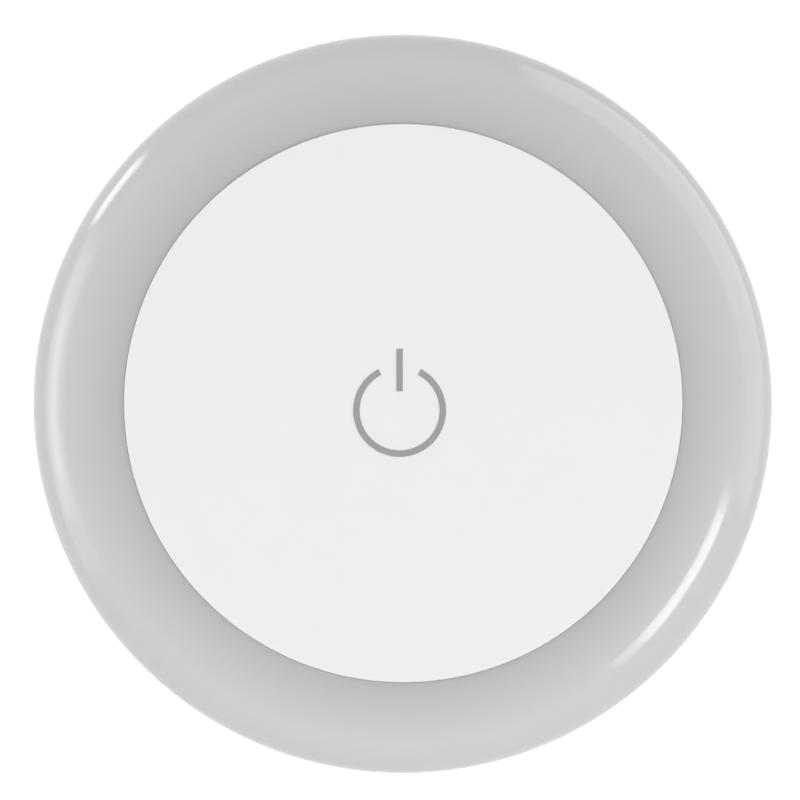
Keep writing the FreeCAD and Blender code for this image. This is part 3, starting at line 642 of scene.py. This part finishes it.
def board_mask():
    """Green solder mask over copper tracks that show through as lighter lanes."""
    mask, lane, edge = (0.020, 0.130, 0.060), (0.030, 0.165, 0.075), (0.012, 0.085, 0.040)
    shader = Shader("board_mask", mask, 0.35, IOR=1.5)
    turn = add_node(shader.tree, "Mapping", Rotation=(math.pi / 2, 0, 0))
    lanes = add_node(
        shader.tree, "TexBrick", Scale=1 / (6 * MM), Color1=(*mask, 1), Color2=(*lane, 1),
        Mortar=(*edge, 1),
    )
    shader.link(shader.place, turn.inputs["Vector"])
    shader.link(turn.outputs["Vector"], lanes.inputs["Vector"])
    shader.link(lanes.outputs["Color"], shader.surface.inputs["Base Color"])
    shader.wear(1.5 * MM, 0.05).grain(0.4 * MM, 0.004 * MM, 0.4)
    return shader.material


def small_part(name, colour, roughness, **uniform):
    """A dipped or moulded electronic part."""
    shader = Shader(name, colour, roughness, **uniform)
    shader.mottle(1.2 * MM, 0.06).wear(0.8 * MM, 0.06).grain(0.3 * MM, 0.008 * MM, 0.6)
    return shader.material


class NIGHTLIGHT_OT_ring(Operator):
    """Make the milky ring"""

    bl_idname = "nightlight.ring"
    bl_label = "Milky ring"

    def execute(self, context):
        size = context.scene.night_light_ring
        low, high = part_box("diffuser_ring")
        outer, crest, tongue_end = high.x, low.y, high.y
        bore = outer - size.width
        lip = bore - size.lip_width
        lip_front = crest + size.bore_depth
        lip_back = lip_front + size.lip_thickness
        crown = crest + size.crown
        back = tongue_end - size.tongue_length
        inner = outer - size.wall
        edge, seam = size.edge_round, size.seam_round
        points = outline(
            (lip, lip_back),
            (lip, lip_front),
            (bore, lip_front),
            (bore, crest + edge),
            ((bore, crest), (bore + edge, crest)),
            ((outer, crest), (outer, crown)),
            (outer, back - seam),
            ((outer, back), (outer - seam, back)),
            (inner + size.tongue_thickness, back),
            (inner + size.tongue_thickness, tongue_end),
            (inner, tongue_end),
            (inner, crown),
            ((inner, crest + size.wall), (bore + size.bore_wall, crest + size.wall)),
            (bore + size.bore_wall, lip_back),
            (lip, lip_back),
        )
        ring = turned("milky_ring", points, ROUND_STEPS)
        finish_piece(ring, milky_ring(), "lamp_body", "ring_milky", "diffuser_ring")
        return {"FINISHED"}


def symbol_solid(name, y_from, y_to):
    """The power symbol as a solid between two depths: an open ring and a bar."""
    size = bpy.context.scene.night_light_disc
    centre = Vector((-size.symbol_shift, 0, -size.symbol_drop))
    start = math.pi / 2 + size.symbol_opening / 2
    bpy.ops.mesh.primitive_plane_add(size=1)
    ring = bpy.context.object
    ring.name = name
    start_edit()
    bpy.ops.transform.resize(value=(size.stroke, y_to - y_from, 1))
    bpy.ops.transform.translate(value=(size.symbol_ring / 2, (y_from + y_to) / 2, 0))
    bpy.ops.mesh.spin(
        steps=SYMBOL_STEPS, angle=2 * math.pi - size.symbol_opening, center=(0, 0, 0), axis=(0, 1, 0)
    )
    end_edit()
    ring.rotation_euler = (0, -start, 0)
    ring.location = centre
    settle(ring)
    bar = block(
        name + "_bar", size.stroke, size.bar_length, y_from, y_to, centre.x,
        centre.z + size.bar_reach - size.bar_length / 2,
    )
    select_only(ring)
    bar.select_set(True)
    bpy.ops.object.join()
    start_edit()
    end_edit()
    return ring


def guide_leg(size, y_from, y_to):
    """One hooked leg on +X, from the disc's back to its foot."""
    middle = size.leg_radius + size.leg_thickness / 2
    leg = block("guide_leg", size.leg_thickness, size.leg_width, y_from, y_to, middle)
    hook_to = y_to - size.hook_rise
    hook_from = hook_to - size.hook_height
    start_edit()
    for y in (hook_from, hook_to):
        bpy.ops.mesh.select_all(action="SELECT")
        bpy.ops.mesh.bisect(plane_co=(0, y, 0), plane_no=(0, 1, 0))
    extrude_faces(
        lambda face: face.normal.x > ALONG and hook_from < face.calc_center_median().y < hook_to,
        (size.hook_reach, 0, 0),
    )
    end_edit()
    return leg


class NIGHTLIGHT_OT_disc(Operator):
    """Make the press disc, with its skirt, boss, spring locator and guide legs"""

    bl_idname = "nightlight.disc"
    bl_label = "Press disc"

    def execute(self, context):
        size = context.scene.night_light_disc
        low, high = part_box("press_disc")
        face, foot, radius = low.y, high.y, high.x + size.snug
        skirt = face + size.skirt_height
        back = face + size.thickness
        disc = drum("press_disc_cap", radius, face, skirt, sides=ROUND_STEPS)
        start_edit()
        sink_cap(1, size.skirt_wall, back - skirt)
        bevel_edges(loop_at(face, radius), size.edge_round, FINE_EDGE)
        end_edit()
        # The parts under the face start a quarter of its thickness inside it
        sunk = back - size.thickness / 4
        boss_end = back + size.boss_height
        combine(disc, drum("boss", size.boss_radius, sunk, boss_end), "UNION")
        locator_inner = size.locator_radius - size.locator_wall
        locator_end = back + size.locator_height
        locator = outline(
            (locator_inner, sunk),
            (size.locator_radius, sunk),
            (size.locator_radius, locator_end),
            (locator_inner, locator_end),
            (locator_inner, sunk),
        )
        combine(disc, turned("locator", locator), "UNION")
        for i in range(LEGS):
            leg = guide_leg(size, sunk, foot)
            leg.rotation_euler = (0, -FIRST_LEG - 2 * math.pi * i / LEGS, 0)
            settle(leg)
            combine(disc, leg, "UNION")
        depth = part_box("power_symbol")[1].y - face
        combine(disc, symbol_solid("pocket", face - depth, face + depth), "DIFFERENCE")
        finish_piece(disc, matte_disc(), "disc", "disc_white", "press_disc")
        return {"FINISHED"}


class NIGHTLIGHT_OT_spring(Operator):
    """Make the return spring, which shortens as the disc is pressed"""

    bl_idname = "nightlight.spring"
    bl_label = "Return spring"

    def execute(self, context):
        size = context.scene.night_light_disc
        low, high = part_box("return_spring")
        length_at_rest = high.y - low.y
        radius = size.spring_wire / 2
        bpy.ops.mesh.primitive_circle_add(
            vertices=WIRE_SIDES, radius=radius, location=(high.x - radius, low.y + radius, 0)
        )
        spring = settled("return_spring_coil")
        coil = spring.modifiers.new("coil", "SCREW")
        coil.axis = "Y"
        coil.angle = 2 * math.pi
        coil.iterations = SPRING_TURNS
        coil.screw_offset = (length_at_rest - 2 * radius) / SPRING_TURNS
        coil.steps = SMALL_STEPS
        coil.use_merge_vertices = True
        coil.merge_threshold = WELD
        bpy.ops.object.modifier_apply(modifier=coil.name)
        start_edit()
        pick("EDGE", lambda edge: edge.is_boundary)
        bpy.ops.mesh.edge_face_add()
        end_edit()
        steel = plated_metal("spring_wire", (0.58, 0.58, 0.59), 0.25)
        finish_piece(spring, steel, "lamp_body", "spring_steel", "return_spring")
        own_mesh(spring)
        return {"FINISHED"}


class NIGHTLIGHT_OT_symbol(Operator):
    """Make the power symbol, flush in its pocket"""

    bl_idname = "nightlight.symbol"
    bl_label = "Power symbol"

    def execute(self, context):
        low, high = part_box("power_symbol")
        symbol = symbol_solid("power_symbol_inlay", low.y, high.y)
        finish_piece(symbol, symbol_ink(), "disc", "symbol_grey", "power_symbol")
        return {"FINISHED"}


def plug_prism(name, extra, y_from, y_to):
    """The plug's section, grown by extra all round, with its slanted and rounded corners."""
    size = bpy.context.scene.night_light_plug
    prism = block(name, size.width + 2 * extra, size.height + 2 * extra, y_from, y_to)
    start_edit()
    bevel_edges(runs_along_y, size.chamfer + extra / 2, 1)
    # The slanted corners turn by 45 degrees, so a rounding starts this far from the edge
    bevel_edges(runs_along_y, size.side_round * math.tan(math.pi / 8), PLAIN_EDGE)
    end_edit()
    return prism


class NIGHTLIGHT_OT_housing(Operator):
    """Make the white rear housing, with its plug opening, screw wells and bare label recess"""

    bl_idname = "nightlight.housing"
    bl_label = "Rear housing"

    def execute(self, context):
        size = context.scene.night_light_housing
        low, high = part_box("rear_housing")
        radius, rim, back = high.x, low.y, high.y
        floor = back - size.wall
        shelf = rim + size.rebate_depth
        housing = drum("housing_shell", radius, rim, back, sides=ROUND_STEPS)
        start_edit()
        bevel_edges(loop_at(back, radius), size.corner, ARC_POINTS)
        bevel_edges(loop_at(rim, radius), size.rim_round, RIM_EDGE)
        sink_cap(-1, size.rebate_wall - size.rim_round, shelf - rim)
        sink_cap(-1, size.wall - size.rebate_wall, floor - shelf)
        bevel_edges(loop_at(floor, radius - size.wall), size.corner - size.wall, ARC_POINTS)
        end_edit()
        boss_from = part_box("main_board")[1].y
        boss_radius = size.screw_well + size.boss_wall
        hole_radius = size.shank_radius + size.opening_gap
        seat = back - size.screw_seat
        past = back + size.wall
        for x, z in screw_places():
            boss = drum("boss", boss_radius, boss_from, floor + size.wall / 2, x, z)
            combine(housing, boss, "UNION")
        for x, z in screw_places():
            combine(housing, drum("well", size.screw_well, seat, past, x, z), "DIFFERENCE")
            hole = drum("hole", hole_radius, boss_from - size.wall, past, x, z)
            combine(housing, hole, "DIFFERENCE")
        opening = plug_prism("opening", size.opening_gap, floor - size.wall, past)
        combine(housing, opening, "DIFFERENCE")
        label = block(
            "label", size.label_width, size.label_height, back - size.label_depth, past,
            0, -size.label_drop,
        )
        start_edit()
        bevel_edges(runs_along_y, size.label_corner, PLAIN_EDGE)
        end_edit()
        combine(housing, label, "DIFFERENCE")
        start_edit()
        bevel_edges(sharp_edges_at(back), size.hole_round, SMALL_EDGE)
        end_edit()
        finish_piece(
            housing, white_shell("housing_plastic"), "lamp_body", "housing_white", "rear_housing"
        )
        return {"FINISHED"}


class NIGHTLIGHT_OT_plug(Operator):
    """Make the moulded plug, with its flange, towers and the recesses round its pins"""

    bl_idname = "nightlight.plug"
    bl_label = "Plug"

    def execute(self, context):
        size = context.scene.night_light_plug
        low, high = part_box("plug_block")
        flange_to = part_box("rear_housing")[1].y - context.scene.night_light_housing.wall
        flange_from = flange_to - size.flange_thickness
        plug = plug_prism("plug_moulding", 0.0, flange_from, high.y)
        start_edit()
        bevel_edges(sharp_edges_at(high.y), size.face_round, PLAIN_EDGE)
        end_edit()
        combine(plug, plug_prism("flange", size.flange_rim, flange_from, flange_to), "UNION")
        recess_from = high.y - size.recess_depth
        past = high.y + size.face_round
        for side in (-1, 1):
            x = side * (size.pin_spacing / 2 - low.y * math.tan(pin_lean(size)))
            combine(plug, drum("tower", size.tower_radius, low.y, flange_to, x), "UNION")
            x = side * size.pin_spacing / 2
            recess = drum("recess", size.recess_radius, recess_from, past, x)
            combine(plug, recess, "DIFFERENCE")
        finish_piece(
            plug, white_shell("plug_plastic", -0.05), "lamp_body", "housing_white", "plug_block"
        )
        return {"FINISHED"}


def pin_lean(size):
    """The angle by which each pin leans inwards."""
    return math.atan((size.pin_spacing - size.tip_spacing) / 2 / size.pin_length)


def lean_in(piece, side, size):
    """Lean a piece made on the axis inwards, and stand it where that side's pin leaves the plug."""
    piece.rotation_euler = (0, 0, side * pin_lean(size))
    piece.location = (side * size.pin_spacing / 2, 0, 0)
    settle(piece)


class NIGHTLIGHT_OT_pins(Operator):
    """Make the two pins and their insulating sleeves"""

    bl_idname = "nightlight.pins"
    bl_label = "Pins and sleeves"

    def execute(self, context):
        size = context.scene.night_light_plug
        nickel = plated_metal("nickel_pin", (0.66, 0.645, 0.61), 0.24, (1, 12, 1))
        sleeve_finish = dark_sleeve()
        tip, core, sleeve = size.pin_radius, size.core_radius, size.sleeve_radius
        edge = size.sleeve_round
        # A leaning pin's tail reaches further than the same pin upright
        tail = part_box("pin_left")[0].y + 2 * edge
        for side, word in ((-1, "left"), (1, "right")):
            points = outline(
                (0, tail),
                (core, tail),
                (core, size.sleeve_length),
                (tip - edge, size.sleeve_length),
                ((tip, size.sleeve_length), (tip, size.sleeve_length + edge)),
                (tip, size.pin_length - tip),
                ((tip, size.pin_length), (0, size.pin_length)),
            )
            pin = turned("contact_pin_" + word, points)
            lean_in(pin, side, size)
            finish_piece(pin, nickel, "lamp_body", "pin_nickel", "pin_" + word)
            points = outline(
                (core, -size.sleeve_root),
                (sleeve, -size.sleeve_root),
                (sleeve, size.sleeve_length - edge),
                ((sleeve, size.sleeve_length), (sleeve - edge, size.sleeve_length)),
                (core, size.sleeve_length),
                (core, -size.sleeve_root),
            )
            cover = turned("insulating_sleeve_" + word, points)
            lean_in(cover, side, size)
            finish_piece(cover, sleeve_finish, "lamp_body", "sleeve_dark", "sleeve_" + word)
        return {"FINISHED"}


class NIGHTLIGHT_OT_screws(Operator):
    """Make the three housing screws"""

    bl_idname = "nightlight.screws"
    bl_label = "Housing screws"

    def execute(self, context):
        size = context.scene.night_light_housing
        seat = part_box("rear_housing")[1].y - size.screw_seat
        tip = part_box("housing_screws")[0].y
        top = seat + size.head_height
        head, shank = size.head_radius, size.shank_radius
        points = outline(
            (0, tip),
            (shank, tip + shank / 2),
            (shank, seat),
            (head, seat),
            (head, top - size.head_round),
            ((head, top), (head - size.head_round, top)),
            (0, top),
        )
        zinc = plated_metal("zinc_screw", (0.56, 0.57, 0.585), 0.32)
        recess_from = top - size.cross_depth
        past = top + size.cross_depth
        span, width = size.cross_span, size.cross_width
        for number, (x, z) in enumerate(screw_places(), 1):
            screw = turned("housing_screw_%d" % number, points)
            combine(screw, block("slot", span, width, recess_from, past), "DIFFERENCE")
            combine(screw, block("slot", width, span, recess_from, past), "DIFFERENCE")
            soften(screw, size.screw_round)
            screw.location = (x, 0, z)
            settle(screw)
            nodes = ["housing_screws"] if number == 1 else []
            finish_piece(screw, zinc, "lamp_body", "screw_steel", *nodes)
        return {"FINISHED"}


class NIGHTLIGHT_OT_inside(Operator):
    """Give the parts inside the lamp their finishes"""

    bl_idname = "nightlight.inside"
    bl_label = "Parts inside"

    def execute(self, context):
        white = white_shell("inner_plastic", 0.1)
        tin = plated_metal("tinned_metal", (0.70, 0.71, 0.72), 0.30)
        dark = small_part("dark_epoxy", (0.020, 0.020, 0.022), 0.5)
        finishes = {
            "centre_frame": white,
            "reflector_ring": white,
            "switch_plunger": white,
            "main_board": board_mask(),
            "light_emitters": small_part("emitter_resin", (0.80, 0.62, 0.18), 0.25, IOR=1.5),
            "switch_body": dark,
            "switch_terminals": tin,
            "component_leads": tin,
            "solder_joints": tin,
            "electrolytic_capacitor": plated_metal("can_sleeve", (0.62, 0.64, 0.68), 0.35),
            "film_capacitor": small_part("film_resin", (0.36, 0.06, 0.035), 0.3, IOR=1.5),
            "bridge_rectifier": dark,
            "fusible_resistor": small_part("resistor_coat", (0.13, 0.28, 0.20), 0.5),
            "chip_resistors": dark,
        }
        for node, material in finishes.items():
            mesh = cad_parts[node].data
            mesh.materials.clear()
            mesh.materials.append(material)
        return {"FINISHED"}


def add_softbox(name, spot, around, off, across, along, radiance):
    """A rectangular area light aimed at a spot, set by the brightness that it shows.

    It stands in the direction given by its angle round the lamp and its angle off the view axis.
    It spans one angle across the ring and one along it, so that its reflection is a band of even
    radius on the ring.
    """
    turn, tip = math.radians(around), math.radians(off)
    towards = Vector((math.sin(tip) * math.cos(turn), -math.cos(tip), math.sin(tip) * math.sin(turn)))
    along_ring = Vector((-math.sin(turn), 0, math.cos(turn)))
    light = bpy.data.lights.new(name, "AREA")
    light.shape = "RECTANGLE"
    light.size = 2 * LIGHT_DISTANCE * math.tan(math.radians(across) / 2)
    light.size_y = 2 * LIGHT_DISTANCE * math.tan(math.radians(along) / 2)
    light.energy = radiance * math.pi * light.size * light.size_y
    lamp = bpy.data.objects.new(name, light)
    bpy.context.collection.objects.link(lamp)
    lamp.location = spot + towards * LIGHT_DISTANCE
    axes = Matrix((along_ring.cross(towards), along_ring, towards))
    lamp.rotation_euler = axes.transposed().to_euler()
    lamp.visible_camera = False
    return lamp


def set_where_seen(tree, socket, seen, unseen):
    """Give a socket one value for the lens and in reflections, and another for all other rays."""
    path = add_node(tree, "LightPath")
    spread = add_node(tree, "MapRange", To_Min=unseen, To_Max=seen)
    either, seen_ray = add_node(tree, "Math"), add_node(tree, "Math")
    either.operation = seen_ray.operation = "MAXIMUM"
    tree.links.new(path.outputs["Is Camera Ray"], either.inputs[0])
    tree.links.new(path.outputs["Is Glossy Ray"], either.inputs[1])
    tree.links.new(either.outputs[0], seen_ray.inputs[0])
    tree.links.new(path.outputs["Is Transmission Ray"], seen_ray.inputs[1])
    tree.links.new(seen_ray.outputs[0], spread.inputs["Value"])
    tree.links.new(spread.outputs["Result"], socket)


def pale_ground(stage):
    """A pale matte surface that keeps shadows and shows white to the lens and in reflections."""
    shade = (stage.ground_shade, stage.ground_shade, stage.ground_shade)
    shader = Shader("pale_ground", shade, stage.ground_roughness, Emission_Color=(1, 1, 1, 1))
    glow = shader.surface.inputs["Emission Strength"]
    set_where_seen(shader.tree, glow, stage.ground_glow, 0.0)
    return shader.material


def white_room(strength):
    """A world that lights evenly, and shows white to the lens and in reflections."""
    world = bpy.data.worlds.new("white_room")
    bpy.context.scene.world = world
    world.use_nodes = True
    background = world.node_tree.nodes["Background"]
    set_sockets(background, Color=(1, 1, 1, 1))
    set_where_seen(world.node_tree, background.inputs["Strength"], 1.0, strength)


class NIGHTLIGHT_OT_stage(Operator):
    """Make the floor, the backdrop, the lights and the camera"""

    bl_idname = "nightlight.stage"
    bl_label = "Stage"

    def execute(self, context):
        stage = context.scene.night_light_stage
        low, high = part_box("diffuser_ring")
        outline_y = low.y + context.scene.night_light_ring.crown
        ground = pale_ground(stage)
        for name, place, turn in (
            ("floor", (0, 0, -stage.floor_drop), (0, 0, 0)),
            ("backdrop", (0, stage.backdrop_place, 0), (math.pi / 2, 0, 0)),
        ):
            bpy.ops.mesh.primitive_plane_add(size=stage.ground_side, location=place, rotation=turn)
            plane = context.object
            plane.name = name
            plane.data.materials.append(ground)
        white_room(stage.room_light)
        self.add_lights(high.x, outline_y)
        self.add_camera(context, stage, outline_y, high.x)
        return {"FINISHED"}

    def add_lights(self, radius, outline_y):
        """Softboxes whose reflections lie on the ring, and broad fills that only light surfaces."""
        for name, around, *rest in REFLECTED_LIGHTS:
            turn = math.radians(around)
            spot = Vector((radius * math.cos(turn), outline_y, radius * math.sin(turn)))
            add_softbox(name, spot, around, *rest).visible_diffuse = False
        for name, *rest in FILL_LIGHTS:
            add_softbox(name, Vector((0, outline_y, 0)), *rest).visible_glossy = False

    def add_camera(self, context, stage, outline_y, outline_radius):
        """A long lens in front, a little below the axis and to its left."""
        camera = bpy.data.cameras.new("camera")
        holder = bpy.data.objects.new("camera", camera)
        context.collection.objects.link(holder)
        holder.location = (-stage.camera_left, outline_y - stage.camera_distance, -stage.camera_drop)
        target = Vector((0, outline_y, 0))
        holder.rotation_euler = (target - holder.location).to_track_quat("-Z", "Y").to_euler()
        seen_width = 2 * outline_radius * PICTURE / stage.outline_pixels
        camera.sensor_width = SENSOR
        camera.lens = SENSOR * stage.camera_distance / seen_width
        camera.shift_x = -(stage.outline_x - PICTURE / 2) / PICTURE
        camera.shift_y = (stage.outline_y - PICTURE / 2) / PICTURE
        camera.clip_start = CLIP_START
        context.scene.camera = holder
        context.scene.view_settings.view_transform = "Standard"


class NIGHTLIGHT_PT_panel(Panel):
    """The night light's sizes, finishes and makers"""

    bl_label = "Night light"
    bl_idname = "NIGHTLIGHT_PT_panel"
    bl_space_type = "VIEW_3D"
    bl_region_type = "UI"
    bl_category = "Night light"

    def draw(self, context):
        for operator in OPERATORS:
            self.layout.operator(operator.bl_idname)
        for group, kind in GROUPS.items():
            box = self.layout.box()
            box.label(text=kind.__doc__)
            for value in kind.__annotations__:
                box.prop(getattr(context.scene, group), value)


OPERATORS = (
    NIGHTLIGHT_OT_stage,
    NIGHTLIGHT_OT_ring,
    NIGHTLIGHT_OT_disc,
    NIGHTLIGHT_OT_symbol,
    NIGHTLIGHT_OT_spring,
    NIGHTLIGHT_OT_housing,
    NIGHTLIGHT_OT_plug,
    NIGHTLIGHT_OT_pins,
    NIGHTLIGHT_OT_screws,
    NIGHTLIGHT_OT_inside,
)
CLASSES = (*GROUPS.values(), *OPERATORS, NIGHTLIGHT_PT_panel)


def register():
    for kind in CLASSES:
        bpy.utils.register_class(kind)
    for group, kind in GROUPS.items():
        setattr(bpy.types.Scene, group, PointerProperty(type=kind))


def unregister():
    for group in GROUPS:
        delattr(bpy.types.Scene, group)
    for kind in reversed(CLASSES):
        bpy.utils.unregister_class(kind)


def main():
    register()
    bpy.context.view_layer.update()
    bpy.ops.nightlight.stage()
    bpy.ops.nightlight.ring()
    bpy.ops.nightlight.disc()
    bpy.ops.nightlight.symbol()
    bpy.ops.nightlight.spring()
    bpy.ops.nightlight.housing()
    bpy.ops.nightlight.plug()
    bpy.ops.nightlight.pins()
    bpy.ops.nightlight.screws()
    bpy.ops.nightlight.inside()


if __name__ == "__main__":
    main()
